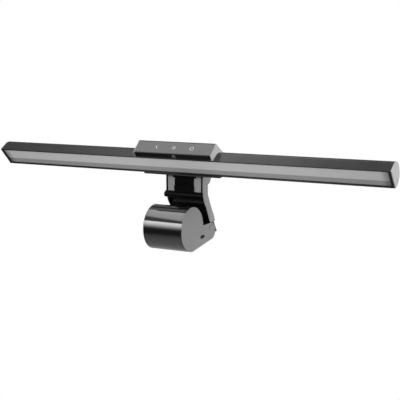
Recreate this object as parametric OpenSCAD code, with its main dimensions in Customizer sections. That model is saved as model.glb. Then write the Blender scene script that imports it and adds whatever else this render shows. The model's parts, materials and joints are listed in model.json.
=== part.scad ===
// Monitor light bar: a light head that tilts on a clip, whose sprung arm and counterweight
// drum grip the back of a screen.
// Millimetres. X runs along the bar, Y points back, Z points up. The origin is the middle of
// the seat, the underside of the clip that rests on the screen's top edge.

/* [Bar] */
// Length of the bar over both end caps
bar_length = 450; // [300:10:600]
// Radius of the bar's round back
bar_back_r = 12.5; // [10:0.5:15]
// Wall of the extruded housing
bar_wall = 1.3; // [1:0.1:1.6]
// Angle of the light window from level, facing forward and down
window_angle = 47.4; // [42:0.1:52]
// Distance from the centre of the round back to the window's plane
window_offset = 7.66; // [6:0.01:8.5]
// How far the front ridge reaches past the back's radius
ridge_lead = 1.32; // [1:0.01:2.5]
// Width of the lip above the window
upper_lip = 1.3; // [1:0.1:2]
// Width of the lip below the window
lower_lip = 2.3; // [1.5:0.1:3]
// Depth of the diffuser's face behind the lips
diffuser_recess = 0.6; // [0.3:0.1:1]
// Thickness of the diffuser
diffuser_t = 1.8; // [1.2:0.1:2.2]
// Thickness of an end cap's outer plate
cap_t = 3.5; // [2:0.1:5]
// Distance between neighbouring LEDs
led_pitch = 7; // [5:0.5:12]

/* [Control module] */
// Width of the control module along the bar
module_w = 90; // [70:1:130]
// Wall of the saddle that wraps the bar
saddle_t = 1.7; // [1.4:0.1:2.5]
// Angle of the touch face from level
touch_slope = 43.8; // [38:0.1:50]
// Height of the touch face over the bar's round back
touch_height = 8.4; // [7.5:0.1:11]
// Length of the touch face from its lower to its upper edge
touch_depth = 16.3; // [14:0.1:20]
// Thickness of the touch panel
touch_t = 1; // [0.8:0.1:1.5]
// Distance between the middles of two icons
icon_pitch = 20.5; // [15:0.5:26]

/* [Clip] */
// Width of the neck between the clip's ears
neck_w = 22.6; // [20:0.2:27]
// Radius of the neck's tilt barrel
neck_r = 6.4; // [5.5:0.1:7.5]
// Outer radius of the ears round the tilt axis
ear_r = 11.4; // [10.5:0.1:13.5]
// Width of the clip over both ears
clip_w = 39.2; // [34:0.2:48]
// Radius of the tilt pin
tilt_pin_r = 2; // [1.5:0.1:2.4]
// Radius of the hook's rounded nose
hook_r = 3; // [2.5:0.1:3.5]
// Thickness of the seat pad
seat_pad_t = 1; // [0.8:0.1:1.2]

/* [Arm] */
// Radius of the round lug at the arm's upper hinge
lug_r = 7.6; // [6.5:0.1:8.2]
// Radius of the arm's stub pins
stub_pin_r = 2.4; // [1.8:0.1:2.6]
// Thickness of an arm side plate
plate_t = 2; // [1.5:0.1:3]
// Wall of the arm's inner frame
arm_wall = 2; // [1.6:0.1:2.2]

/* [Drum] */
// Outer radius of the counterweight drum
drum_r = 22.9; // [18:0.1:28]
// Radius of the drum's tail round its hinge
tail_r = 8.8; // [8.5:0.1:9.4]
// Wall of the drum's shell
shell_t = 2; // [1.5:0.1:2.5]
// Thickness of a drum cap
drum_cap_t = 2.55; // [2:0.05:4]
// Radius of the drum's hinge pin
drum_pin_r = 2; // [1.5:0.1:2.4]
// Width of the power inlet
inlet_w = 9.2; // [8.8:0.1:10]
// Height of the power inlet
inlet_h = 3.4; // [3:0.1:4]

/* [Hidden] */
// Clearances
run_gap = 0.05;      // radial, pin in a bore it turns in
side_gap = 0.3;      // sideways, between bodies that turn past each other
fit_gap = 0.1;       // around a piece that is set in a pocket
barrel_gap = 0.4;    // radial, round the neck's barrel
saddle_gap = 0.48;   // between the saddle and the clip's ears

// Hinge axes, as [Y, Z]
tilt_axis = [2, 9];
arm_axis = [6, 15];
drum_axis = [14.4, -42.8];

// Side frame: a shape drawn as [Y, Z] and drawn out along X
function turn(p, a) = [p[0] * cos(a) - p[1] * sin(a), p[0] * sin(a) + p[1] * cos(a)];
function polar(r, a) = [r * cos(a), r * sin(a)];
// Where a line from p touches a circle of radius r round the origin
function touch(p, r, way) = polar(r, atan2(p[1], p[0]) + way * acos(r / norm(p)));

// Bar
saddle_r = bar_back_r + saddle_t;
bar_lean = 122.47;                                   // from the tilt axis to the bar's centre
bar_axis = tilt_axis + polar(ear_r + saddle_gap + saddle_r, bar_lean);
ridge_reach = bar_back_r + ridge_lead;
ridge = turn([-ridge_reach, -window_offset], -window_angle);
ridge_touch = touch(ridge, bar_back_r - 0.03, -1);    // just inside the back, to join it
window_foot = turn([0, -window_offset], -window_angle);
bar_half = bar_length / 2 - cap_t;                   // half length of the extrusion
inner_r = bar_back_r - bar_wall;
window_x0 = -ridge_reach + upper_lip;
window_x1 = sqrt(pow(bar_back_r, 2) - pow(window_offset, 2)) - lower_lip;
seat_y = -window_offset + diffuser_recess + diffuser_t;
ledge_t = 0.8;
upper_ledge = 2.4;
lower_ledge = 0.9;
led_y = 3;                                           // LED board's face over the bar's centre
board_t = 1.2;
board_half = sqrt(pow(inner_r, 2) - pow(led_y + board_t, 2)) - 2 * fit_gap;
rail_w = 2;
rail_t = 1.2;
driver_y = led_y + board_t + fit_gap + rail_t;
driver_half = sqrt(pow(inner_r, 2) - pow(driver_y + board_t, 2)) - fit_gap;
driver_x = 4;
driver_len = 70;
end_room = 6;                                        // what an end cap's plug needs
plug_len = 4;
led_w = 2.8;
led_t = 0.8;
led_count = floor((2 * bar_half - 2 * end_room - led_w) / led_pitch) + 1;
liner_t = 0.6;

// Control module
roof_y = bar_back_r + touch_height;
touch_x0 = -0.413 * touch_depth;
touch_x1 = touch_x0 + touch_depth;
roof_front = turn([touch_x0, roof_y], touch_slope);
roof_top = turn([touch_x1, roof_y], touch_slope);
roof_back = touch(roof_top, saddle_r, -1);
split_a = atan2(roof_back[1], roof_back[0]);         // where the roof meets the saddle
front_lip = 1.26;
roof_foot = ridge * (1 + front_lip / norm(ridge));
front_run = roof_foot - roof_front;
front_len = norm(front_run);
front_a = atan2(front_run[1], front_run[0]);
front_t = 0.8;
front_rim = 0.4;
touch_rim = 0.9;
cavity_x0 = touch_x0 + 1.7;
cavity_x1 = touch_x1 - 1.6;
cavity_y = bar_back_r + 2.6;
wire_r = 1.2;
wire_x = -24;
wire_across = touch_x1 - 2.9;
icon_t = 0.12;
icon_r = 2.4;
sensor_x = 2;
sensor_w = 4.5;
sensor_h = 3.4;
saddle_end = -82;

// Neck
neck_half = neck_w / 2;
flare = 2.2;                                         // the neck's extra width under the saddle
flare_r = 8.2;
flare_gap = 0.35;
neck_back = tilt_axis + [neck_r, 19];
saddle_back = bar_axis + [saddle_r - 0.3, 2.5];
cable_r = 1.4;
cable_z = bar_axis[1] - 1;
cable_y = tilt_axis[0] + 2.1;
cable_start = bar_axis[0] + inner_r - 1;
screw_r = 1.25;
screw_head_r = 2.5;
screw_head_t = 1.4;
neck_screw_x = 7;
neck_floor = 2.2;                                    // the neck's thickness under a screw head
screw_len = neck_floor + saddle_t - 0.9;
neck_screw_z = bar_axis[1] - 7;
neck_screw_y = bar_axis[0] + sqrt(pow(saddle_r, 2) - pow(neck_screw_z - bar_axis[1], 2));

// Clip base
ear_half = clip_w / 2;
ear_in = neck_half + side_gap;
ear_step = neck_half + flare + side_gap + 0.1;       // the ear is lower inside this
seat_front = -4;
seat_back = 9;
bridge_front = tilt_axis[0] - neck_r - 0.8;
bridge_top = 6;
cup_r = neck_r + barrel_gap;
hook_nose = [bridge_front - 0.4, -3.7];
hook_in = -3;
hook_pad_t = 0.4;
washer_t = side_gap - 0.05;
spring_pocket_r = 4.3;
spring_pocket_x = ear_half - 4.1;
stub_end = ear_step + 0.3;

// Arm
plate_in = ear_half + side_gap;
plate_out = plate_in + plate_t;
frame_top = -2.2;                                   // leaves a 2 mm plate room under the seat
// Outlines from the top down; the plates' edges, then the frame's front
plate_front = [[-4, 18.7], [-4, -3], [-0.7, -11], [3.8, -17], [12.4, -33.6]];
plate_back = [[23.2, -33.6], [21.3, -28], [13.8, -16], [7, -3], [7, 10]];
frame_front = [[4, frame_top], [4, -8], [2.4, -12.5], [5.4, -18], [13.4, -33]];
cover_back = [[7, frame_top], [7, -3], [13.8, -16], [32, -46]];
cover_t = 2.4;                                       // measured level, front to back
barrel_r = tail_r - 2.2;
web_t = arm_wall;
spring_gap_half = 6.5;
arm_cable_r = 0.9;
cover_run = cover_back[3] - cover_back[2];
cable_back = cover_t - arm_cable_r * norm(cover_run) / cover_run[1];
// Clipped along the inside of the rear cover
arm_cable_path = concat([[6.4, -10.5]], [for (z = [-19, -25.5, -32]) [cover_y(z) - cable_back, z]]);
arm_screw_z = [-8, -41.5];
arm_screw_len = 5;
arm_head_t = 1;
arm_screw_x = ear_half - 7;

// Drum
drum_lean = 169.1;                                   // from the hinge to the drum's centre
knuckle_room = 19.36;
drum_centre = drum_axis + polar(drum_r + knuckle_room, drum_lean);
drum_span = norm(drum_centre - drum_axis);
tangent_a = drum_lean + 180 - acos((drum_r - tail_r) / drum_span);
drum_cap_in = plate_in;
drum_cap_out = drum_cap_in + drum_cap_t;
shell_back = drum_axis[0] - 11.4;                    // the shell's closed rear
weight_r = drum_r - shell_t - 3.4;
weight_half = ear_half - 2.1;
inlet_at = drum_axis + [-20, -3];
inlet_len = 7.3;
inlet_wall = 0.35;
usb_board_len = 11;
cap_screw_r = 1.6;

// Springs
arm_coil_r = 3.5;
drum_coil_r = 3.4;
arm_wire_r = 0.4;
drum_wire_r = 0.45;
arm_turns = 3.5;
drum_turns = 8;

$fn = 96;

// ---- Helpers ----

// Draws a side shape out along X
module side(x0, x1) translate([x0, 0, 0]) rotate([90, 0, 90]) linear_extrude(x1 - x0) children();

// The same on both sides of the middle
module both(x0, x1) {
    side(x0, x1) children();
    side(-x1, -x0) children();
}

// Solid placed in the side frame, as [Y, Z, X]
module side_solid() rotate([90, 0, 90]) children();

module disc(p, r) translate(p) circle(r);

module strip(x0, y0, x1, y1) translate([x0, y0]) square([x1 - x0, y1 - y0]);

module in_bar() translate(bar_axis) children();

// X runs down the window from the ridge, Y points into the bar
module in_window() in_bar() rotate(-window_angle) children();

// X runs up the touch face, Y points out of it
module in_roof() in_bar() rotate(touch_slope) children();

// X runs down the module's front face from its upper edge
module in_front() in_bar() translate(roof_front) rotate(front_a) children();

module slot(w, h) {
    strip(-(w - h) / 2, -h / 2, (w - h) / 2, h / 2);
    for (s = [-1, 1]) disc([s * (w - h) / 2, 0], h / 2);
}

// Coil round the X axis through p, from x0 to x1
module coil(p, r, wire_r, turns, x0, x1) {
    steps = ceil(turns * 14);
    sides = 8;
    pitch = (x1 - x0 - 2 * wire_r) / steps;
    points = [for (i = [0:steps], k = [0:sides - 1])
        let (a = 360 * turns * i / steps, b = 360 * k / sides, q = r + wire_r * cos(b))
        [x0 + wire_r + i * pitch + wire_r * sin(b), p[0] + q * cos(a), p[1] + q * sin(a)]];
    walls = [for (i = [0:steps - 1], k = [0:sides - 1])
        let (a = i * sides + k, b = i * sides + (k + 1) % sides)
        [a, b, b + sides, a + sides]];
    first = [for (k = [0:sides - 1]) sides - 1 - k];
    last = [for (k = [0:sides - 1]) steps * sides + k];
    polyhedron(points, concat([first], walls, [last]), convexity = 6);
}

// ---- Light head ----

module bar_section() {
    bar_back();
    bar_ridge();
}

module bar_back() intersection() {
    circle(bar_back_r);
    rotate(-window_angle) strip(-50, -window_offset, 50, 50);
}

module bar_ridge() polygon([ridge, ridge_touch, [0, 0], window_foot]);

module bar_block(x0, x1) {
    side(x0, x1) in_bar() bar_back();
    side(x0, x1) in_bar() bar_ridge();
}

module bar_cavity(gap = 0) {
    intersection() {
        circle(inner_r - gap);
        strip(-50, seat_y + ledge_t + gap, 50, 50);
    }
}

module bar_rails() {
    y0 = led_y + board_t + fit_gap;
    for (s = [-1, 1]) strip(s > 0 ? board_half - rail_w : -20, y0, s > 0 ? 20 : rail_w - board_half, y0 + rail_t);
}

module wire_hole(r) {
    side_solid() translate([bar_axis[0], bar_axis[1], wire_x]) rotate([0, 0, touch_slope])
        translate([wire_across, bar_back_r - 4, 0]) rotate([-90, 0, 0]) cylinder(h = touch_height + 1.6, r = r);
}

module cable_hole(r) {
    translate([0, cable_start, cable_z]) rotate([-90, 0, 0]) cylinder(h = cable_y - cable_start, r = r);
}

module bar_housing() color([0.33, 0.34, 0.36]) {
    difference() {
        bar_block(-bar_half, bar_half);
        side(-bar_half - 1, bar_half + 1) in_window() {
            strip(window_x0, -window_offset - 1, window_x1, seat_y);
            strip(window_x0 + upper_ledge, seat_y - 0.1, window_x1 - lower_ledge, seat_y + ledge_t + 0.1);
            difference() {
                bar_cavity();
                bar_rails();
            }
        }
        wire_hole(wire_r + fit_gap);
        cable_hole(cable_r + fit_gap);
    }
}

module diffuser() color([0.93, 0.93, 0.9])
    side(-bar_half, bar_half) in_window()
        strip(window_x0 + fit_gap, seat_y - diffuser_t, window_x1 - fit_gap, seat_y);

module led_board() color([0.9, 0.9, 0.86])
    side(end_room - bar_half, bar_half - end_room) in_window()
        strip(-board_half, led_y, board_half, led_y + board_t);

module led_chips() color([0.95, 0.85, 0.4]) {
    for (i = [0:led_count - 1]) {
        x = (i - (led_count - 1) / 2) * led_pitch;
        side(x - led_w / 2, x + led_w / 2) in_window() strip(-led_w / 2, led_y - led_t, led_w / 2, led_y);
    }
}

module reflector() color([0.96, 0.96, 0.96])
    side(end_room - bar_half, bar_half - end_room) in_window() {
        y0 = seat_y + ledge_t;
        x0 = window_x0 + upper_ledge + fit_gap;
        x1 = window_x1 - lower_ledge;
        x2 = board_half - 1;
        polygon([[x0, y0], [x0 + liner_t, y0], [x0 + liner_t + 0.8, led_y], [x0 + 0.8, led_y]]);
        polygon([[x1 - liner_t, y0], [x1, y0], [x2, led_y], [x2 - liner_t, led_y]]);
    }

module end_cap() {
    bar_block(bar_half, bar_length / 2);
    side(bar_half - plug_len, bar_half) in_window() difference() {
        bar_cavity(fit_gap);
        strip(-50, led_y + board_t, 50, driver_y + fit_gap);
    }
}

module end_cap_left() color([0.75, 0.75, 0.76]) mirror([1, 0, 0]) end_cap();
module end_cap_right() color([0.75, 0.75, 0.76]) end_cap();

module driver_board() color([0.1, 0.35, 0.2])
    side(driver_x, driver_x + driver_len) in_window()
        strip(-driver_half, driver_y, driver_half, driver_y + board_t);

module driver_parts() color([0.15, 0.15, 0.16]) {
    y0 = driver_y + board_t;
    // Each part is [distance along the board, length, width, height]
    for (part = [[4, 5, 5, 2], [14, 10, 7, 2.4], [32, 6, 6, 1.4], [46, 6, 5, 1.8], [58, 8, 4, 1.2]]) {
        x = driver_x + part[0];
        side(x, x + part[1]) in_window() strip(-part[2] / 2, y0, part[2] / 2, y0 + part[3]);
    }
}

module roof_section() polygon([roof_foot, roof_front, roof_top, roof_back, [0, 0]]);

module control_housing() color([0.4, 0.41, 0.43]) {
    difference() {
        side(-module_w / 2, module_w / 2) in_bar() difference() {
            roof_section();
            bar_section();
            circle(bar_back_r);
        }
        side(touch_rim - module_w / 2, module_w / 2 - touch_rim) {
            in_roof() strip(touch_x0 + touch_rim, roof_y - touch_t, touch_x1 - touch_rim, roof_y + 1);
            in_roof() strip(cavity_x0, cavity_y, cavity_x1, roof_y);
            in_front() strip(front_rim, -1, front_len - front_rim, front_t);
        }
        side(sensor_x - sensor_w / 2, sensor_x + sensor_w / 2)
            in_front() strip((front_len - sensor_h) / 2, 0, (front_len + sensor_h) / 2, front_t + 1);
        wire_hole(wire_r + fit_gap);
    }
}

module touch_panel() color([0.47, 0.48, 0.5])
    side(touch_rim + fit_gap - module_w / 2, module_w / 2 - touch_rim - fit_gap) in_roof()
        strip(touch_x0 + touch_rim + fit_gap, roof_y - touch_t, touch_x1 - touch_rim - fit_gap, roof_y);

// One icon lies on the touch face round its own middle
module on_touch(x) {
    side_solid() translate([bar_axis[0], bar_axis[1], x]) rotate([0, 0, touch_slope])
        translate([(touch_x0 + touch_x1) / 2, roof_y, 0]) rotate([-90, 0, 0]) linear_extrude(icon_t) children();
}

module ring(r, w) difference() {
    circle(r);
    circle(r - w);
}

module touch_icons() color([0.92, 0.92, 0.92]) {
    on_touch(-icon_pitch) rotate(30) slot(2 * icon_r, 0.7);
    on_touch(0) {
        ring(icon_r / 2, 0.4);
        for (a = [0:45:315]) rotate(a) strip(icon_r - 0.7, -0.2, icon_r, 0.2);
    }
    on_touch(icon_pitch) difference() {
        ring(icon_r, 0.45);
        strip(-0.6, 0, 0.6, icon_r + 1);
    }
    on_touch(icon_pitch) strip(-0.22, 0.6, 0.22, icon_r + 0.3);
}

module front_panel() color([0.06, 0.06, 0.07])
    difference() {
        side(touch_rim + fit_gap - module_w / 2, module_w / 2 - touch_rim - fit_gap) in_front()
            strip(front_rim + fit_gap, 0, front_len - front_rim - fit_gap, front_t);
        side(sensor_x - sensor_w / 2, sensor_x + sensor_w / 2)
            in_front() strip((front_len - sensor_h) / 2, -1, (front_len + sensor_h) / 2, front_t + 1);
    }

module sensor_window() color([0.35, 0.35, 0.37])
    side(sensor_x - sensor_w / 2 + fit_gap, sensor_x + sensor_w / 2 - fit_gap) in_front()
        strip((front_len - sensor_h) / 2 + fit_gap, 0, (front_len + sensor_h) / 2 - fit_gap, front_t + 0.4);

module touch_board() color([0.1, 0.35, 0.2])
    side(4 - module_w / 2, module_w / 2 - 4) in_roof()
        strip(cavity_x0 + fit_gap, roof_y - touch_t - board_t, cavity_x1 - fit_gap, roof_y - touch_t);

module module_wire() color([0.1, 0.1, 0.1]) difference() {
    wire_hole(wire_r);
    side(wire_x - 3, wire_x + 3) in_roof() strip(-20, roof_y - touch_t - board_t, 20, roof_y + 5);
}

module saddle() color([0.3, 0.31, 0.33]) {
    difference() {
        side(-module_w / 2, module_w / 2) in_bar() intersection() {
            ring(saddle_r, saddle_t);
            polygon(concat([[0, 0]], [for (i = [0:6]) polar(60, saddle_end + (split_a - saddle_end) * i / 6)]));
        }
        cable_hole(cable_r + fit_gap);
        neck_screw_bores(screw_r + fit_gap);
    }
}

module neck_screw_bores(r) {
    for (s = [-1, 1]) translate([s * neck_screw_x, neck_screw_y - saddle_t - 1, neck_screw_z])
        rotate([-90, 0, 0]) cylinder(h = 12, r = r);
}

module neck_section() {
    polygon([tilt_axis - [neck_r, 0], tilt_axis + [-neck_r, 9], bar_axis, saddle_back, neck_back,
        tilt_axis + [neck_r, 0]]);
    disc(tilt_axis, neck_r);
}

module neck() color([0.1, 0.1, 0.11]) {
    difference() {
        union() {
            side(-neck_half, neck_half) difference() {
                neck_section();
                disc(bar_axis, saddle_r);
            }
            side(-neck_half - flare, neck_half + flare) difference() {
                neck_section();
                disc(bar_axis, saddle_r);
                disc(tilt_axis, flare_r);
            }
        }
        side(-neck_half - 1, neck_half + 1) disc(tilt_axis, tilt_pin_r + run_gap);
        cable_hole(cable_r + fit_gap);
        translate([0, cable_y, tilt_axis[1] + 4]) cylinder(h = cable_z + cable_r - tilt_axis[1] - 4, r = cable_r + fit_gap);
        neck_screw_bores(screw_r + fit_gap);
        for (s = [-1, 1]) translate([s * neck_screw_x, neck_screw_y + neck_floor, neck_screw_z])
            rotate([-90, 0, 0]) cylinder(h = 12, r = screw_head_r + fit_gap);
    }
}

module neck_screws() color("silver") {
    for (s = [-1, 1]) translate([s * neck_screw_x, neck_screw_y + neck_floor, neck_screw_z]) rotate([-90, 0, 0]) {
        difference() {
            cylinder(h = screw_head_t, r = screw_head_r);
            translate([0, 0, screw_head_t - 0.7]) cylinder(h = 1, r = 1.1, $fn = 6);
        }
        translate([0, 0, -screw_len]) cylinder(h = screw_len + 0.1, r = screw_r);
    }
}

module head_cable() color([0.07, 0.07, 0.07]) {
    cable_hole(cable_r);
    translate([0, cable_y, tilt_axis[1] + 4.5]) cylinder(h = cable_z - tilt_axis[1] - 4.5, r = cable_r);
    translate([0, cable_y, cable_z]) sphere(cable_r);
}

// ---- Clip base ----

module ear_section(r, lug) {
    intersection() {
        disc(tilt_axis, r);
        strip(seat_front, 0, seat_back, 40);
    }
    strip(seat_front, 0, seat_back, bridge_top - 1);
    if (lug) disc(arm_axis, lug_r);
}

module clip_base() color([0.62, 0.62, 0.63]) {
    difference() {
        union() {
            both(ear_step, ear_half) ear_section(ear_r, true);
            both(ear_in, ear_step) ear_section(flare_r - flare_gap, false);
            side(-ear_in, ear_in) difference() {
                strip(bridge_front, 0, seat_back, bridge_top);
                disc(tilt_axis, cup_r);
            }
        }
        both(ear_in - 1, ear_half + 1) disc(tilt_axis, tilt_pin_r);
        both(stub_end - 0.2, ear_half + 1) disc(arm_axis, stub_pin_r + run_gap);
        both(spring_pocket_x, ear_half + 1) disc(arm_axis, spring_pocket_r);
        seat_pocket(0);
    }
}

module seat_pocket(gap) {
    w = ear_half - 1.6 - gap;
    side(-w, w) strip(seat_front + 1.5 + gap, gap > 0 ? 0 : -1, seat_back - 1 - gap, seat_pad_t);
}

module seat_pad() color([0.13, 0.13, 0.13]) seat_pocket(fit_gap);

module hook_section() intersection() {
    union() {
        disc(hook_nose, hook_r);
        polygon([hook_nose - [hook_r, 0], [bridge_front - 0.2, 0], [hook_in, 0], hook_nose + [hook_r, 0]]);
    }
    strip(-40, -40, hook_in, 0);
}

module front_hook() color([0.09, 0.09, 0.1]) {
    side(-ear_half, ear_half) hook_section();
    both(ear_half, plate_out) intersection() {
        hook_section();
        strip(-40, -40, seat_front - 0.5, 0);
    }
}

module hook_pad() color([0.16, 0.16, 0.16])
    side(2.6 - ear_half, ear_half - 2.6) strip(hook_in, hook_nose[1] - hook_r / 2, hook_in + hook_pad_t, -0.8);

module tilt_pin() color("silver") side(0.2 - ear_half, ear_half - 0.2) disc(tilt_axis, tilt_pin_r);

module tilt_washers() color("gainsboro")
    both(ear_in - washer_t, ear_in) difference() {
        disc(tilt_axis, neck_r - 0.8);
        disc(tilt_axis, tilt_pin_r);
    }

// ---- Arm ----

module plate_section() difference() {
    union() {
        polygon(concat(plate_front, plate_back, [arm_axis, arm_axis + [-3, 3.6]]));
        disc(arm_axis, lug_r);
    }
    difference() {
        strip(-20, arm_axis[1] - 3, arm_axis[0], 40);
        disc(tilt_axis, ear_r);
        disc(arm_axis, lug_r);
    }
}

module arm_side() difference() {
    side(plate_in, plate_out) plate_section();
    side(plate_in - 1, plate_out - 0.6) disc(arm_axis, stub_pin_r);
}

module arm_side_left() color([0.6, 0.61, 0.62]) mirror([1, 0, 0]) arm_side();
module arm_side_right() color([0.6, 0.61, 0.62]) arm_side();

function shifted(list, d) = [for (p = list) p + [d, 0]];
function reversed(list) = [for (i = [len(list) - 1:-1:0]) list[i]];

module frame_outline() {
    polygon(concat(frame_front, [drum_axis + polar(barrel_r, 145), drum_axis + polar(barrel_r, -60)],
        reversed(shifted(cover_back, -cover_t))));
    disc(drum_axis, barrel_r);
}

module frame_inside() difference() {
    polygon(concat([[cover_back[0][0] - cover_t, -4]], [for (i = [1:4]) frame_front[i] + [arm_wall + 0.3, i == 1 ? 2 : 0]],
        [drum_axis + polar(barrel_r, 100), drum_axis + polar(barrel_r, 20), cover_back[3] + [-cover_t, 8],
            cover_back[2], cover_back[1]]));
    disc(drum_axis, barrel_r);
}

module arm_frame() color([0.08, 0.08, 0.09]) {
    difference() {
        side(-ear_half, ear_half) frame_outline();
        side(web_t - ear_half, ear_half - web_t) frame_inside();
        side(-ear_half - 1, ear_half + 1) disc(drum_axis, drum_pin_r + run_gap);
        side(-spring_gap_half, spring_gap_half) disc(drum_axis, barrel_r + 0.6);
        arm_screw_bores(screw_r);
    }
}

function cover_y(z) = lookup(-z, [for (p = cover_back) [-p[1], p[0]]]);

module arm_screw_at(i) {
    z = arm_screw_z[i];
    for (s = [-1, 1]) translate([s * arm_screw_x, cover_y(z), z]) children();
}

module arm_screw_bores(r) {
    for (i = [0, 1]) arm_screw_at(i) rotate([90, 0, 0]) cylinder(h = arm_screw_len, r = r);
}

module arm_rear_cover() color([0.2, 0.2, 0.21]) {
    difference() {
        side(-ear_half, ear_half) polygon(concat(shifted(cover_back, -cover_t), reversed(cover_back)));
        arm_screw_bores(screw_r);
        for (i = [0, 1]) arm_screw_at(i) rotate([-90, 0, 0]) translate([0, 0, -arm_head_t]) cylinder(h = 5, r = screw_head_r + fit_gap);
    }
}

module arm_screws() color("silver") {
    for (i = [0, 1]) arm_screw_at(i) rotate([90, 0, 0]) {
        difference() {
            cylinder(h = arm_head_t, r = screw_head_r);
            translate([0, 0, -1]) cylinder(h = 1.6, r = 1.1, $fn = 6);
        }
        translate([0, 0, arm_head_t]) cylinder(h = arm_screw_len - arm_head_t, r = screw_r);
    }
}

module arm_hinge_pins() color("silver") both(stub_end, plate_out - 0.6) disc(arm_axis, stub_pin_r);

module arm_spring_right() color("darkgray")
    coil(arm_axis, arm_coil_r, arm_wire_r, arm_turns, spring_pocket_x + 0.2, ear_half - 0.1);
module arm_spring_left() color("darkgray") mirror([1, 0, 0])
    coil(arm_axis, arm_coil_r, arm_wire_r, arm_turns, spring_pocket_x + 0.2, ear_half - 0.1);

// Round cord through points of the side frame
module cord(path, r) {
    sides = 8;
    last = len(path) - 1;
    points = [for (i = [0:last], k = [0:sides - 1])
        let (run = path[min(i + 1, last)] - path[max(i - 1, 0)], b = 360 * k / sides,
            q = path[i] + r * cos(b) * [-run[1], run[0]] / norm(run))
        [r * sin(b), q[0], q[1]]];
    walls = [for (i = [0:last - 1], k = [0:sides - 1])
        let (a = i * sides + k, b = i * sides + (k + 1) % sides)
        [a, a + sides, b + sides, b]];
    first = [for (k = [0:sides - 1]) k];
    end = [for (k = [0:sides - 1]) (last + 1) * sides - 1 - k];
    polyhedron(points, concat([first], walls, [end]), convexity = 6);
}

module arm_cable() color([0.07, 0.07, 0.07]) cord(arm_cable_path, arm_cable_r);

// ---- Drum ----

module drum_outline() {
    disc(drum_centre, drum_r);
    disc(drum_axis, tail_r);
    polygon([drum_axis + [0, tail_r], [drum_centre[0], drum_axis[1] + tail_r], drum_centre,
        drum_centre + polar(drum_r, tangent_a), drum_axis + polar(tail_r, tangent_a), drum_axis]);
}

module shell_room() {
    disc(drum_centre, drum_r - shell_t);
    inward = polar(-shell_t, tangent_a);
    intersection() {
        polygon([[drum_axis[0], drum_axis[1] + tail_r - shell_t], [drum_centre[0], drum_axis[1] + tail_r - shell_t],
            drum_centre, drum_centre + polar(drum_r, tangent_a) + inward,
            drum_axis + polar(tail_r, tangent_a) + inward]);
        strip(-200, -200, shell_back - shell_t, 200);
    }
}

module drum_shell() color([0.2, 0.2, 0.21])
    side(-drum_cap_in, drum_cap_in) difference() {
        intersection() {
            drum_outline();
            strip(-200, -200, shell_back, 200);
        }
        shell_room();
    }

module inlet_shape(gap) translate(inlet_at) slot(inlet_w + 2 * gap, inlet_h + 2 * gap);

module drum_cap(inlet) difference() {
    union() {
        side(drum_cap_in, drum_cap_out) drum_outline();
        side(drum_cap_in - 2.2, drum_cap_in) intersection() {
            difference() {
                disc(drum_centre, drum_r - shell_t - fit_gap);
                disc(drum_centre, weight_r + 1);
            }
            strip(-200, -200, inlet_at[0] - inlet_w / 2 - 1, 200);
        }
    }
    side(drum_cap_in - 1, drum_cap_out - 0.8) disc(drum_axis, drum_pin_r);
    if (inlet) side(drum_cap_in - 1, drum_cap_out + 1) inlet_shape(0);
    if (!inlet) side(drum_cap_in - 3, drum_cap_out + 1) drum_screw_places() circle(cap_screw_r);
}

module drum_screw_places() {
    for (a = [60, 180, 300]) translate(drum_centre + polar(drum_r - shell_t - 1.8, a)) children();
}

module drum_cap_right() color([0.52, 0.53, 0.54]) drum_cap(true);
module drum_cap_left() color([0.52, 0.53, 0.54]) mirror([1, 0, 0]) drum_cap(false);

module drum_screws() color("silver") mirror([1, 0, 0])
    difference() {
        side(drum_cap_in - 1.8, drum_cap_out - 0.3) drum_screw_places() circle(cap_screw_r);
        side(drum_cap_out - 0.9, drum_cap_out) drum_screw_places() circle(0.8, $fn = 6);
    }

module counterweight() color("gray") side(-weight_half, weight_half) disc(drum_centre, weight_r);

module drum_hinge_pin() color("silver") side(-drum_cap_out + 0.8, drum_cap_out - 0.8) disc(drum_axis, drum_pin_r);

module drum_spring() color("darkgray")
    coil(drum_axis, drum_coil_r, drum_wire_r, drum_turns, 0.3 - spring_gap_half, spring_gap_half - 0.3);

module usb_socket() color("silver") {
    x0 = drum_cap_out - inlet_len;
    difference() {
        side(x0, drum_cap_out - 0.1) inlet_shape(-fit_gap);
        side(x0 + 1, drum_cap_out + 1) inlet_shape(-fit_gap - inlet_wall);
    }
}

module usb_tongue() color([0.1, 0.1, 0.1])
    side(drum_cap_out - inlet_len + 1, drum_cap_out - 1.2) translate(inlet_at)
        strip(-inlet_w / 2 + 1.2, -0.35, inlet_w / 2 - 1.2, 0.35);

module usb_board() color([0.1, 0.35, 0.2]) {
    x1 = drum_cap_in - 0.3;
    side(x1 - usb_board_len, x1) translate(inlet_at)
        strip(-inlet_w / 2 + 0.6, fit_gap - inlet_h / 2 - board_t, inlet_w / 2 - 0.6, fit_gap - inlet_h / 2);
}

bar_housing();
diffuser();
led_board();
led_chips();
reflector();
end_cap_left();
end_cap_right();
driver_board();
driver_parts();
control_housing();
touch_panel();
touch_icons();
front_panel();
sensor_window();
touch_board();
module_wire();
saddle();
neck();
neck_screws();
head_cable();
clip_base();
front_hook();
hook_pad();
seat_pad();
tilt_pin();
tilt_washers();
arm_frame();
arm_side_left();
arm_side_right();
arm_rear_cover();
arm_screws();
arm_hinge_pins();
arm_spring_left();
arm_spring_right();
arm_cable();
drum_shell();
drum_cap_left();
drum_cap_right();
drum_screws();
counterweight();
drum_hinge_pin();
drum_spring();
usb_socket();
usb_tongue();
usb_board();
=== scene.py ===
import json
import math

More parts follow.
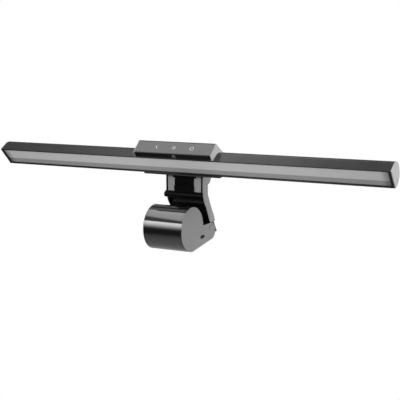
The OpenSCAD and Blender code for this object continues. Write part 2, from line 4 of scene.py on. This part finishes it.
import bmesh
import bpy
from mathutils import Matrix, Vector

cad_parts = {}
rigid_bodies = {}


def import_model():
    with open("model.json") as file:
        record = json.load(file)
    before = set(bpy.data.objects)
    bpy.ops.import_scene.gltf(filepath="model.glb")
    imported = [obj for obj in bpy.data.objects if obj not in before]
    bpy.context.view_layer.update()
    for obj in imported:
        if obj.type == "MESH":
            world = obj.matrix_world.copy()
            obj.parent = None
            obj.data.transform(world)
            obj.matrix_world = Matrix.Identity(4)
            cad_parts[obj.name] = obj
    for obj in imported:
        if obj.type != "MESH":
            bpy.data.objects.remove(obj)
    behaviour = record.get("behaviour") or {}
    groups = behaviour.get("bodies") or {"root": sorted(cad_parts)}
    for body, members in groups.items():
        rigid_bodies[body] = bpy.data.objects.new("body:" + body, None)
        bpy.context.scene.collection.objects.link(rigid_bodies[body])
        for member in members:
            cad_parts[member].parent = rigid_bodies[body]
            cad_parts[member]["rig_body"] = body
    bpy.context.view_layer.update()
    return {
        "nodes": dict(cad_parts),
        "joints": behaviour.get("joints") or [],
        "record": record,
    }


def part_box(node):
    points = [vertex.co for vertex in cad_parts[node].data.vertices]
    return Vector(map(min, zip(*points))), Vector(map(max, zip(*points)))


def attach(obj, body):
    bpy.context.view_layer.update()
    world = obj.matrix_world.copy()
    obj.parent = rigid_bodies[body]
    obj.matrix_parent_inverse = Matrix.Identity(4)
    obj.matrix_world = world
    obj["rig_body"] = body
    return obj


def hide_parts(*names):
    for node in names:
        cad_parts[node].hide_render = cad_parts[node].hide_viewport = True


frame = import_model()
mm = 0.001
bodyOf = {node: obj["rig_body"] for node, obj in frame["nodes"].items()}
slotOf = {row["node"]: row["material_slot"] for row in frame["record"]["subparts"]}
jointAt = {joint["name"]: Vector(joint["pos_m"]) for joint in frame["joints"]}
print("frame loaded with", len(bodyOf), "nodes")


def link(node, out, target, into):
    node.id_data.links.new(node.outputs[out], target.inputs[into])


def newNode(tree, kind, **settings):
    node = tree.nodes.new(kind)
    for key, value in settings.items():
        setattr(node, key, value)
    return node


# Turns a value between two readings into a value between two results
def rampNode(tree, fromMin, fromMax, toMin, toMax, smooth=True):
    ramp = newNode(tree, "ShaderNodeMapRange")
    if smooth:
        ramp.interpolation_type = "SMOOTHSTEP"
    readings = {"From Min": fromMin, "From Max": fromMax, "To Min": toMin, "To Max": toMax}
    for into, value in readings.items():
        ramp.inputs[into].default_value = value
    return ramp


def emptyMaterial(name):
    material = bpy.data.materials.new(name)
    material.use_nodes = True
    material.node_tree.nodes.clear()
    return material, material.node_tree


def placeObject(name, mesh):
    obj = bpy.data.objects.new(name, mesh)
    bpy.context.scene.collection.objects.link(obj)
    return obj


# Camera and studio, in metres

viewpoint = {
    "place": (0.4499, -0.8077, 0.1311),
    "target": (0.0269, -0.0197, -0.0051),
    "lens": 80.45,
    "sensor": 36,
    "near": 0.05,
    "far": 50,
}


def makeCamera():
    cam = placeObject("viewCamera", bpy.data.cameras.new("viewCamera"))
    cam.data.lens = viewpoint["lens"]
    cam.data.sensor_width = viewpoint["sensor"]
    cam.data.clip_start = viewpoint["near"]
    cam.data.clip_end = viewpoint["far"]
    cam.location = viewpoint["place"]
    aim = Vector(viewpoint["target"]) - Vector(viewpoint["place"])
    cam.rotation_euler = aim.to_track_quat("-Z", "Y").to_euler()
    bpy.context.scene.camera = cam


def makeWorld(fillStrength):
    # White to the eye, and a dim even fill for everything else
    world = bpy.data.worlds.new("studio")
    bpy.context.scene.world = world
    world.use_nodes = True
    tree = world.node_tree
    tree.nodes.clear()
    out = newNode(tree, "ShaderNodeOutputWorld")
    seen = newNode(tree, "ShaderNodeBackground")
    seen.inputs["Color"].default_value = (1, 1, 1, 1)
    fill = newNode(tree, "ShaderNodeBackground")
    fill.inputs["Color"].default_value = (1, 1, 1, 1)
    fill.inputs["Strength"].default_value = fillStrength
    path = newNode(tree, "ShaderNodeLightPath")
    mix = newNode(tree, "ShaderNodeMixShader")
    link(path, "Is Camera Ray", mix, "Fac")
    link(fill, "Background", mix, 1)
    link(seen, "Background", mix, 2)
    link(mix, "Shader", out, "Surface")


# Pale under the lamp and dark farther out, so that the drum's glossy barrel keeps its contrast
paperFloor = {"half": 6, "drop": 0.072, "near": 0.125, "far": 0.28, "pale": 0.5, "dark": 0.03}


def makeFloor():
    floorZ = jointAt["drum_swing"].z - paperFloor["drop"]    # below the drum when it hangs straight down
    half = paperFloor["half"]
    corners = [(x * half, y * half, floorZ) for x, y in ((-1, -1), (1, -1), (1, 1), (-1, 1))]
    mesh = bpy.data.meshes.new("floor")
    mesh.from_pydata(corners, [], [(0, 1, 2, 3)])
    floor = placeObject("floor", mesh)
    floor.visible_camera = False    # it only throws light back, and the white backdrop shows through
    material, tree = emptyMaterial("paperFloor")
    out = newNode(tree, "ShaderNodeOutputMaterial")
    paper = newNode(tree, "ShaderNodeBsdfDiffuse")
    coord = newNode(tree, "ShaderNodeTexCoord")
    reach = newNode(tree, "ShaderNodeVectorMath", operation="LENGTH")
    fall = rampNode(tree, paperFloor["near"], paperFloor["far"], paperFloor["pale"], paperFloor["dark"])
    link(coord, "Object", reach, "Vector")
    link(reach, "Value", fall, "Value")
    link(fall, "Result", paper, "Color")
    link(paper, "BSDF", out, "Surface")
    mesh.materials.append(material)


# The softboxes aren't seen directly; foot and top are the strengths at their two long edges
softboxes = {
    "frontBox": {"place": (-0.95, -1.75, 0.47), "aim": (0, 0, -0.03), "size": (3.4, 1.15),
                 "foot": 0.15, "top": 5.5},
    "upperBox": {"place": (-0.9, 0.04, 1.75), "aim": (0, 0, 0), "size": (3.6, 0.5),
                 "foot": 2.0, "top": 2.0},
    "rightBox": {"place": (1.9, 0.25, 0.5), "aim": (0, 0, 0), "size": (1.6, 1.6),
                 "foot": 6.6, "top": 6.6},
}


def makeSoftbox(name, box):
    w, h = box["size"][0] / 2, box["size"][1] / 2
    corners = [(-w, -h, 0), (w, -h, 0), (w, h, 0), (-w, h, 0)]
    mesh = bpy.data.meshes.new(name)
    mesh.from_pydata(corners, [], [(0, 1, 2, 3)])
    obj = placeObject(name, mesh)
    obj.location = box["place"]
    facing = Vector(box["aim"]) - Vector(box["place"])
    obj.rotation_euler = facing.to_track_quat("Z", "Y").to_euler()
    obj.visible_camera = False
    material, tree = emptyMaterial(name)
    out = newNode(tree, "ShaderNodeOutputMaterial")
    glow = newNode(tree, "ShaderNodeEmission")
    coord = newNode(tree, "ShaderNodeTexCoord")
    split = newNode(tree, "ShaderNodeSeparateXYZ")
    grade = rampNode(tree, -h, h, box["foot"], box["top"])
    link(coord, "Object", split, "Vector")
    link(split, "Y", grade, "Value")
    link(grade, "Result", glow, "Strength")
    link(glow, "Emission", out, "Surface")
    mesh.materials.append(material)


makeCamera()
makeWorld(fillStrength=0.2)
makeFloor()
for name, box in softboxes.items():
    makeSoftbox(name, box)
bpy.context.scene.view_settings.view_transform = "Standard"
print("camera and studio made")


# Finishes: colour is linear grey or rgb, grain is the texture's size in mm, mottle the share by which
# the colour varies, and streak stretches the grain along the bar
finishes = {
    "bar_anodised": {"colour": 0.075, "metal": 0.75, "rough": 0.36, "grain": 0.25, "bump": 0.02,
                     "mottle": 0.1, "streak": 12},
    "diffuser_frost": {"colour": 0.82, "rough": 0.5, "grain": 0.5, "bump": 0.01, "mottle": 0.02,
                       "shade": True},
    "cap_grey": {"colour": 0.42, "rough": 0.5, "grain": 0.22, "bump": 0.1, "mottle": 0.06},
    "module_grey": {"colour": 0.045, "rough": 0.42, "grain": 0.2, "bump": 0.06, "mottle": 0.06},
    "touch_grey": {"colour": 0.18, "rough": 0.38, "grain": 0.3, "bump": 0.02, "mottle": 0.05},
    "icon_print": {"colour": 0.85, "rough": 0.5, "grain": 0.2, "bump": 0.02, "mottle": 0.04},
    "band_black": {"colour": 0.004, "spec": 0.16, "rough": 0.14, "grain": 1.0, "bump": 0.004, "mottle": 0.05},
    "sensor_tint": {"colour": 0.13, "rough": 0.2, "grain": 0.6, "bump": 0.01, "mottle": 0.1},
    "clip_black": {"colour": 0.004, "spec": 0.06, "rough": 0.3, "grain": 0.18, "bump": 0.06, "mottle": 0.1},
    "clip_grey": {"colour": 0.36, "rough": 0.5, "grain": 0.25, "bump": 0.1, "mottle": 0.1},
    "plate_grey": {"colour": 0.34, "metal": 0.2, "rough": 0.4, "grain": 0.25, "bump": 0.05, "mottle": 0.06},
    "drum_dark": {"colour": 0.008, "spec": 1.0, "rough": 0.12, "grain": 0.8, "bump": 0.003, "mottle": 0.08,
                  "coat": 1},
    "drum_cap": {"colour": 0.24, "rough": 0.46, "grain": 0.22, "bump": 0.06, "mottle": 0.05},
    "steel": {"colour": 0.5, "metal": 1, "rough": 0.28, "grain": 0.3, "bump": 0.03, "mottle": 0.1,
              "streak": 5},
    "spring_steel": {"colour": 0.3, "metal": 1, "rough": 0.3, "grain": 0.2, "bump": 0.03, "mottle": 0.15},
    "ballast": {"colour": 0.12, "metal": 0.8, "rough": 0.55, "grain": 0.6, "bump": 0.2, "mottle": 0.25},
    "board_green": {"colour": (0.015, 0.11, 0.045), "rough": 0.35, "grain": 0.5, "bump": 0.03, "mottle": 0.15},
    "board_white": {"colour": 0.72, "rough": 0.4, "grain": 0.5, "bump": 0.03, "mottle": 0.04},
    "part_black": {"colour": 0.02, "rough": 0.5, "grain": 0.2, "bump": 0.08, "mottle": 0.1},
    "led_phosphor": {"colour": (0.8, 0.6, 0.14), "rough": 0.3, "grain": 0.3, "bump": 0.03, "mottle": 0.1},
    "liner_white": {"colour": 0.82, "rough": 0.35, "grain": 0.6, "bump": 0.02, "mottle": 0.03},
    "pad_rubber": {"colour": 0.02, "rough": 0.8, "grain": 0.3, "bump": 0.15, "mottle": 0.15},
    "lead_black": {"colour": 0.015, "rough": 0.55, "grain": 0.25, "bump": 0.08, "mottle": 0.1},
}
# The parts of every finish that stay the same: the noise stays mostly between floor and ceiling
cloud = {"scale": 45, "detail": 4, "fineDetail": 3, "floor": 0.3, "ceiling": 0.7, "glossSwing": 0.12,
         "bumpDepth": 0.1 * mm, "coatRough": 0.06}
# The frosted strip is darker over its lower third and towards its ends, and it is given a faint painted glow
frost = {"lean": 47.4, "centre": (-0.012, 0.031), "start": 0.2, "blend": 0.9, "third": 0.55, "half": 221.5,
         "fade": 9, "end": 0.45, "paintedGlow": 0.13}


# Darkens the strip's lower third and its ends, and gives it a faint painted glow
def shadeFrost(tree, coord, tint, shader):
    lean = math.radians(frost["lean"])
    centreY, centreZ = frost["centre"]
    start = centreY * math.cos(lean) - centreZ * math.sin(lean) + frost["start"] * mm
    far = frost["half"] * mm
    split = newNode(tree, "ShaderNodeSeparateXYZ")
    across = newNode(tree, "ShaderNodeMath", operation="MULTIPLY")
    across.inputs[1].default_value = math.cos(lean)
    down = newNode(tree, "ShaderNodeMath", operation="MULTIPLY_ADD")
    down.inputs[1].default_value = -math.sin(lean)
    lower = rampNode(tree, start, start + frost["blend"] * mm, 1, frost["third"])
    along = newNode(tree, "ShaderNodeMath", operation="ABSOLUTE")
    ends = rampNode(tree, far - frost["fade"] * mm, far, 1, frost["end"])
    both = newNode(tree, "ShaderNodeMath", operation="MULTIPLY")
    dim = newNode(tree, "ShaderNodeVectorMath", operation="SCALE")
    link(coord, "Object", split, "Vector")
    link(split, "Y", across, 0)
    link(split, "Z", down, 0)
    link(across, "Value", down, 2)
    link(down, "Value", lower, "Value")
    link(split, "X", along, 0)
    link(along, "Value", ends, "Value")
    link(lower, "Result", both, 0)
    link(ends, "Result", both, 1)
    link(tint, "Color", dim, "Vector")
    link(both, "Value", dim, "Scale")
    link(dim, "Vector", shader, "Base Color")
    link(dim, "Vector", shader, "Emission Color")    # painted glow: the strip gives off a faint light of its own in place of light falling on it
    shader.inputs["Emission Strength"].default_value = frost["paintedGlow"]


def tintRamp(tree, look):
    colour = look["colour"] if isinstance(look["colour"], tuple) else (look["colour"],) * 3
    tint = newNode(tree, "ShaderNodeValToRGB")
    dark, light = tint.color_ramp.elements
    dark.position, light.position = cloud["floor"], cloud["ceiling"]
    dark.color = (*[min(1, part * (1 - look["mottle"])) for part in colour], 1)
    light.color = (*[min(1, part * (1 + look["mottle"])) for part in colour], 1)
    return tint


# A finish is a fine grain for bump and tint, over a broad cloud that varies the gloss
def makeFinish(name, look):
    material, tree = emptyMaterial(name)
    out = newNode(tree, "ShaderNodeOutputMaterial")
    shader = newNode(tree, "ShaderNodeBsdfPrincipled")
    coord = newNode(tree, "ShaderNodeTexCoord")
    stretch = newNode(tree, "ShaderNodeMapping")
    stretch.inputs["Scale"].default_value = (1 / look.get("streak", 1), 1, 1)
    fine = newNode(tree, "ShaderNodeTexNoise", noise_dimensions="3D")
    fine.inputs["Scale"].default_value = 1 / (look["grain"] * mm)
    fine.inputs["Detail"].default_value = cloud["fineDetail"]
    broad = newNode(tree, "ShaderNodeTexNoise", noise_dimensions="3D")
    broad.inputs["Scale"].default_value = cloud["scale"]
    broad.inputs["Detail"].default_value = cloud["detail"]
    link(coord, "Object", stretch, "Vector")
    link(stretch, "Vector", fine, "Vector")
    link(coord, "Object", broad, "Vector")

    tint = tintRamp(tree, look)
    half = newNode(tree, "ShaderNodeMath", operation="MULTIPLY")
    half.inputs[1].default_value = 0.5
    blend = newNode(tree, "ShaderNodeMath", operation="MULTIPLY_ADD")    # the mean of the two noises
    blend.inputs[1].default_value = 0.5
    link(broad, "Fac", half, 0)
    link(fine, "Fac", blend, 0)
    link(half, "Value", blend, 2)
    link(blend, "Value", tint, "Fac")
    link(tint, "Color", shader, "Base Color")
    if look.get("shade"):
        shadeFrost(tree, coord, tint, shader)

    swing = look["rough"] * cloud["glossSwing"]
    least, most = look["rough"] - swing, look["rough"] + swing
    gloss = rampNode(tree, cloud["floor"], cloud["ceiling"], least, most, smooth=False)
    link(broad, "Fac", gloss, "Value")
    link(gloss, "Result", shader, "Roughness")

    bump = newNode(tree, "ShaderNodeBump")
    bump.inputs["Strength"].default_value = look["bump"]
    bump.inputs["Distance"].default_value = cloud["bumpDepth"]
    link(fine, "Fac", bump, "Height")
    link(bump, "Normal", shader, "Normal")
    shader.inputs["Metallic"].default_value = look.get("metal", 0)
    shader.inputs["Specular IOR Level"].default_value = look.get("spec", 0.5)
    shader.inputs["Coat Weight"].default_value = look.get("coat", 0)
    shader.inputs["Coat Roughness"].default_value = cloud["coatRough"]
    link(shader, "BSDF", out, "Surface")
    return material


def paint(mesh, slot):
    mesh.materials.clear()
    mesh.materials.append(finishOf[slot])


finishOf = {name: makeFinish(name, look) for name, look in finishes.items()}
for node, obj in frame["nodes"].items():
    paint(obj.data, slotOf[node])
print("finishes made:", len(finishOf))


# Points closer than weld (m) are one point, and faces within flat (degrees) of one plane are one face;
# edges sharper than angle (degrees) are rounded
rounding = {"weld": 1e-6, "flat": 0.6, "steps": 3, "angle": 32, "faceWeight": 80}


# A CAD node's loose triangles as one closed surface
def mergedCopy(node):
    mesh = frame["nodes"][node].data.copy()
    shape = bmesh.new()
    shape.from_mesh(mesh)
    bmesh.ops.remove_doubles(shape, verts=shape.verts, dist=rounding["weld"])
    flat = math.radians(rounding["flat"])
    bmesh.ops.dissolve_limit(shape, angle_limit=flat, verts=shape.verts, edges=shape.edges)
    for face in shape.faces:
        face.smooth = True
    shape.to_mesh(mesh)
    shape.free()
    return mesh


def roundEdges(obj, width):
    bevel = obj.modifiers.new("edge", "BEVEL")
    bevel.width = width * mm
    bevel.segments = rounding["steps"]
    bevel.limit_method = "ANGLE"
    bevel.angle_limit = math.radians(rounding["angle"])
    bevel.miter_outer = "MITER_ARC"
    weight = obj.modifiers.new("flat", "WEIGHTED_NORMAL")
    weight.keep_sharp = True
    weight.weight = rounding["faceWeight"]


# Turns the modifiers' result into a plain mesh
def bakeModifiers(obj):
    graph = bpy.context.evaluated_depsgraph_get()
    mesh = bpy.data.meshes.new_from_object(obj.evaluated_get(graph))
    obj.modifiers.clear()
    obj.data = mesh
    mesh.name = obj.name


def standFor(obj, node):
    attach(obj, bodyOf[node])
    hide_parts(node)


# A whole CAD node with its edges rounded by width mm
def rounded(node, name, width):
    obj = placeObject(name, mergedCopy(node))
    paint(obj.data, slotOf[node])
    roundEdges(obj, width)
    bakeModifiers(obj)
    standFor(obj, node)


# A block from x0 to x1 mm that is a little deeper and higher than the node
def cutterBlock(node, x0, x1):
    low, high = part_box(node)
    margin = 2 * mm
    middle = ((x0 + x1) / 2 * mm, (low.y + high.y) / 2, (low.z + high.z) / 2)
    size = ((x1 - x0) * mm, high.y - low.y + margin, high.z - low.z + margin)
    mesh = bpy.data.meshes.new("cutter")
    shape = bmesh.new()
    bmesh.ops.create_cube(shape, size=1)
    for vert in shape.verts:
        vert.co = [middle[axis] + vert.co[axis] * size[axis] for axis in range(3)]
    shape.to_mesh(mesh)
    shape.free()
    return placeObject("cutter", mesh)


# Part of a CAD node between two planes across the bar, closed and rounded, in a finish of its own
def sliceOf(node, name, x0, x1, width, slot):
    cutter = cutterBlock(node, x0, x1)
    obj = placeObject(name, mergedCopy(node))
    paint(obj.data, slot)
    cut = obj.modifiers.new("cut", "BOOLEAN")
    cut.operation = "INTERSECT"
    cut.solver = "EXACT"
    cut.object = cutter
    roundEdges(obj, width)
    bakeModifiers(obj)
    paint(obj.data, slot)
    standFor(obj, node)
    cutterMesh = cutter.data
    bpy.data.objects.remove(cutter)
    bpy.data.meshes.remove(cutterMesh)


# Node trees for what repeats or follows a path. A tree has one input for each of its piece's sizes.
def startTree(name, sizes):
    tree = bpy.data.node_groups.new(name, "GeometryNodeTree")
    for key, value in sizes.items():
        kind = "NodeSocketInt" if isinstance(value, int) else "NodeSocketFloat"
        tree.interface.new_socket(key, in_out="INPUT", socket_type=kind)
    tree.interface.new_socket("Geometry", in_out="OUTPUT", socket_type="NodeSocketGeometry")
    return tree, tree.nodes.new("NodeGroupInput"), tree.nodes.new("NodeGroupOutput")


def linkSizes(ins, wiring):
    for key, target, into in wiring:
        link(ins, key, target, into)


def finishTree(tree, last, outlet, outs, slot):
    smooth = newNode(tree, "GeometryNodeSetShadeSmooth")
    real = newNode(tree, "GeometryNodeRealizeInstances")
    coat = newNode(tree, "GeometryNodeSetMaterial")
    coat.inputs["Material"].default_value = finishOf[slot]
    link(last, outlet, smooth, "Geometry")
    link(smooth, "Geometry", real, "Geometry")
    link(real, "Geometry", coat, "Geometry")
    link(coat, "Geometry", outs, "Geometry")
    return tree


def growPiece(name, tree, sizes, body):
    obj = placeObject(name, bpy.data.meshes.new(name))
    grow = obj.modifiers.new("grow", "NODES")
    grow.node_group = tree
    for item in tree.interface.items_tree:
        if item.in_out == "INPUT":
            grow[item.identifier] = sizes[item.name]
    bakeModifiers(obj)
    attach(obj, body)
    return obj


# Sweeps a round section along a path in the XY plane, turns the result and puts it in place
def sweptTree(name, sizes, path, pathSizes, section, turn, slot):
    tree, ins, outs = startTree(name, sizes)
    run = newNode(tree, path["kind"], **path["settings"])
    run.inputs["Resolution"].default_value = path["resolution"]
    wire = newNode(tree, "GeometryNodeCurvePrimitiveCircle", mode="RADIUS")
    wire.inputs["Resolution"].default_value = section["resolution"]
    sweep = newNode(tree, "GeometryNodeCurveToMesh")
    sweep.inputs["Fill Caps"].default_value = True
    place = newNode(tree, "GeometryNodeTransform")
    place.inputs["Rotation"].default_value = turn
    spot = newNode(tree, "ShaderNodeCombineXYZ")
    linkSizes(ins, [(key, run, into) for key, into in pathSizes])
    linkSizes(ins, [(section["size"], wire, "Radius"), ("x", spot, "X"), ("y", spot, "Y"), ("z", spot, "Z")])
    link(run, "Curve", sweep, "Curve")
    link(wire, "Curve", sweep, "Profile Curve")
    link(sweep, "Mesh", place, "Geometry")
    link(spot, "Vector", place, "Translation")
    return finishTree(tree, place, "Geometry", outs, slot)


springPath = {"kind": "GeometryNodeCurveSpiral", "settings": {}, "resolution": 40}
springSizes = [("turns", "Rotations"), ("coil", "Start Radius"), ("coil", "End Radius"), ("length", "Height")]
springWire = {"size": "wire", "resolution": 12}
springTurn = (0, math.radians(90), 0)    # the spiral's axis lies along the bar

seamPath = {"kind": "GeometryNodeCurveArc", "settings": {"mode": "RADIUS"}, "resolution": 48}
seamSizes = [("radius", "Radius"), ("start", "Start Angle"), ("sweep", "Sweep Angle")]
gapShadeLine = {"size": "line", "resolution": 8}
seamTurn = (math.radians(90), 0, math.radians(90))    # angles run from the back upwards


def makeSpring(node, fit):
    low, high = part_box(node)
    middle = (low + high) / 2
    coil = (high.z - low.z) / 2 - fit["wire"]
    length = high.x - low.x - 2 * fit["wire"]
    sizes = dict(fit, coil=coil, length=length, x=low.x + fit["wire"], y=middle.y, z=middle.z)
    name = node + "Coil"
    tree = sweptTree(name, sizes, springPath, springSizes, springWire, springTurn, "spring_steel")
    obj = growPiece(name, tree, sizes, bodyOf[node])
    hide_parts(node)


# Painted shade: a thin dark line round part of a circle on a side face, standing for the shadow in a hinge's
# seam
def makeGapShade(name, seam, x, hinge, body):
    sizes = dict(seam, x=x, y=hinge.y, z=hinge.z)
    tree = sweptTree(name, sizes, seamPath, seamSizes, gapShadeLine, seamTurn, "part_black")
    growPiece(name, tree, sizes, body)


# Bar: sizes along X in mm
bar = {"half": 225, "capIn": 217.5, "capFace": 0.9, "edge": 0.22, "frostEdge": 0.3, "capEdge": 0.15,
       "capFaceEdge": 0.3}
past = 1    # how far a cut goes past an outer face


def makeBar():
    rounded("bar_housing", "barShell", bar["edge"])
    rounded("diffuser", "frostedWindow", bar["frostEdge"])
    face = bar["half"] - bar["capFace"]
    for side, word in ((-1, "left"), (1, "right")):
        node = "end_cap_" + word
        x0, x1 = sorted((side * bar["capIn"], side * face))
        sliceOf(node, word + "CapBody", x0, x1, bar["capEdge"], "bar_anodised")
        x0, x1 = sorted((side * face, side * (bar["half"] + past)))
        sliceOf(node, word + "CapFace", x0, x1, bar["capFaceEdge"], "cap_grey")


# The row of LEDs behind the frosted strip
chips = {"count": 62, "pitch": 7 * mm, "wide": 2.8 * mm, "thick": 0.8 * mm, "lean": math.radians(-47.4)}


def chipTree(sizes):
    tree, ins, outs = startTree("ledRow", sizes)
    row = newNode(tree, "GeometryNodeMeshLine", mode="OFFSET")
    chip = newNode(tree, "GeometryNodeMeshCube")
    size = newNode(tree, "ShaderNodeCombineXYZ")
    step = newNode(tree, "ShaderNodeCombineXYZ")
    first = newNode(tree, "ShaderNodeCombineXYZ")
    turn = newNode(tree, "ShaderNodeCombineXYZ")
    spread = newNode(tree, "GeometryNodeInstanceOnPoints")
    linkSizes(ins, [("count", row, "Count"), ("pitch", step, "X"), ("lean", turn, "X")])
    linkSizes(ins, [("wide", size, "X"), ("thick", size, "Y"), ("wide", size, "Z")])
    linkSizes(ins, [("x", first, "X"), ("y", first, "Y"), ("z", first, "Z")])
    link(step, "Vector", row, "Offset")
    link(first, "Vector", row, "Start Location")
    link(size, "Vector", chip, "Size")
    link(row, "Mesh", spread, "Points")
    link(chip, "Mesh", spread, "Instance")
    link(turn, "Vector", spread, "Rotation")
    return finishTree(tree, spread, "Instances", outs, "led_phosphor")


def makeLeds():
    low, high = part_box("led_chips")
    middle = (low + high) / 2
    firstX = -(chips["count"] - 1) / 2 * chips["pitch"]
    sizes = dict(chips, x=firstX, y=middle.y, z=middle.z)
    obj = growPiece("ledRow", chipTree(sizes), sizes, bodyOf["led_chips"])
    obj.data.shade_flat()
    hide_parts("led_chips")


# Control module: a dark shell, a seam and a light cheek at each end
module = {"half": 45, "cheek": 1.2, "seam": 0.7, "edge": 0.35, "seamEdge": 0.05}
moduleEdges = {"touch_panel": 0.12, "front_panel": 0.12, "sensor_window": 0.15, "saddle": 0.3}


def makeModule():
    node = "control_housing"
    cheek = module["half"] - module["cheek"]
    shell = cheek - module["seam"]
    outside = module["half"] + past
    sliceOf(node, "moduleShell", -shell, shell, module["edge"], "module_grey")
    sliceOf(node, "moduleSeamLeft", -cheek, -shell, module["seamEdge"], "part_black")
    sliceOf(node, "moduleSeamRight", shell, cheek, module["seamEdge"], "part_black")
    sliceOf(node, "moduleCheekLeft", -outside, -cheek, module["edge"], "cap_grey")
    sliceOf(node, "moduleCheekRight", cheek, outside, module["edge"], "cap_grey")
    for part, width in moduleEdges.items():
        rounded(part, part + "Soft", width)


neckEdge = 0.6

makeBar()
makeLeds()
makeModule()
rounded("neck", "neckSoft", neckEdge)
print("head made")


# Clip: a black bridge between two grey ears, which reach from earIn to half
clip = {"earIn": 11.6, "half": 19.6, "edge": 0.4}
clipEdges = {"front_hook": 0.45, "hook_pad": 0.12, "seat_pad": 0.2, "arm_frame": 0.3, "arm_rear_cover": 0.25}


def makeClip():
    outside = clip["half"] + past
    sliceOf("clip_base", "bridge", -clip["earIn"], clip["earIn"], clip["edge"], "clip_black")
    sliceOf("clip_base", "earLeft", -outside, -clip["earIn"], clip["edge"], "clip_grey")
    sliceOf("clip_base", "earRight", clip["earIn"], outside, clip["edge"], "clip_grey")
    for part, width in clipEdges.items():
        rounded(part, part + "Soft", width)


# Arm side plates: a light face on a dark rim
plate = {"in": 19.4, "out": 21.9, "face": 0.5, "edge": 0.25, "rimEdge": 0.1}


def makePlates():
    face = plate["out"] - plate["face"]
    outside = plate["out"] + past
    sliceOf("arm_side_right", "plateEdgeRight", plate["in"], face, plate["rimEdge"], "clip_black")
    sliceOf("arm_side_right", "plateFaceRight", face, outside, plate["edge"], "plate_grey")
    sliceOf("arm_side_left", "plateEdgeLeft", -face, -plate["in"], plate["rimEdge"], "clip_black")
    sliceOf("arm_side_left", "plateFaceLeft", -outside, -face, plate["edge"], "plate_grey")


springs = {
    "arm_spring_left": {"turns": 3.5, "wire": 0.4 * mm},
    "arm_spring_right": {"turns": 3.5, "wire": 0.4 * mm},
    "drum_spring": {"turns": 8.0, "wire": 0.45 * mm},
}

# Drum: a glossy barrel whose caps have a dark rim and a light face
drum = {"in": 14.9, "out": 22.45, "face": 0.5, "edge": 0.3, "rimEdge": 0.1, "barrelEdge": 0.12,
        "inletEdge": 0.06}


def makeDrum():
    face = drum["out"] - drum["face"]
    outside = drum["out"] + past
    rounded("drum_shell", "drumBarrel", drum["barrelEdge"])
    sliceOf("drum_cap_right", "capRimRight", drum["in"], face, drum["rimEdge"], "drum_dark")
    sliceOf("drum_cap_right", "capFaceRight", face, outside, drum["edge"], "drum_cap")
    sliceOf("drum_cap_left", "capRimLeft", -face, -drum["in"], drum["rimEdge"], "drum_dark")
    sliceOf("drum_cap_left", "capFaceLeft", -outside, -face, drum["edge"], "drum_cap")
    rounded("usb_socket", "inletShell", drum["inletEdge"])


# Painted shade lines for the shadow in the seams round the arm's hinge and the drum's tail
hingeGapShade = {"radius": 7.3 * mm, "start": math.radians(-100), "sweep": math.radians(150), "line": 0.28 * mm}
tailGapShade = {"radius": 6.4 * mm, "start": math.radians(70), "sweep": math.radians(85), "line": 0.28 * mm}

makeClip()
makePlates()
for node, fit in springs.items():
    makeSpring(node, fit)
makeDrum()
for side, word in ((-1, "Left"), (1, "Right")):
    makeGapShade("hingeGapShade" + word, hingeGapShade, side * plate["out"] * mm, jointAt["arm_open"], "arm")
    makeGapShade("tailGapShade" + word, tailGapShade, side * drum["out"] * mm, jointAt["drum_swing"], "drum")
print("clip, arm and drum made")
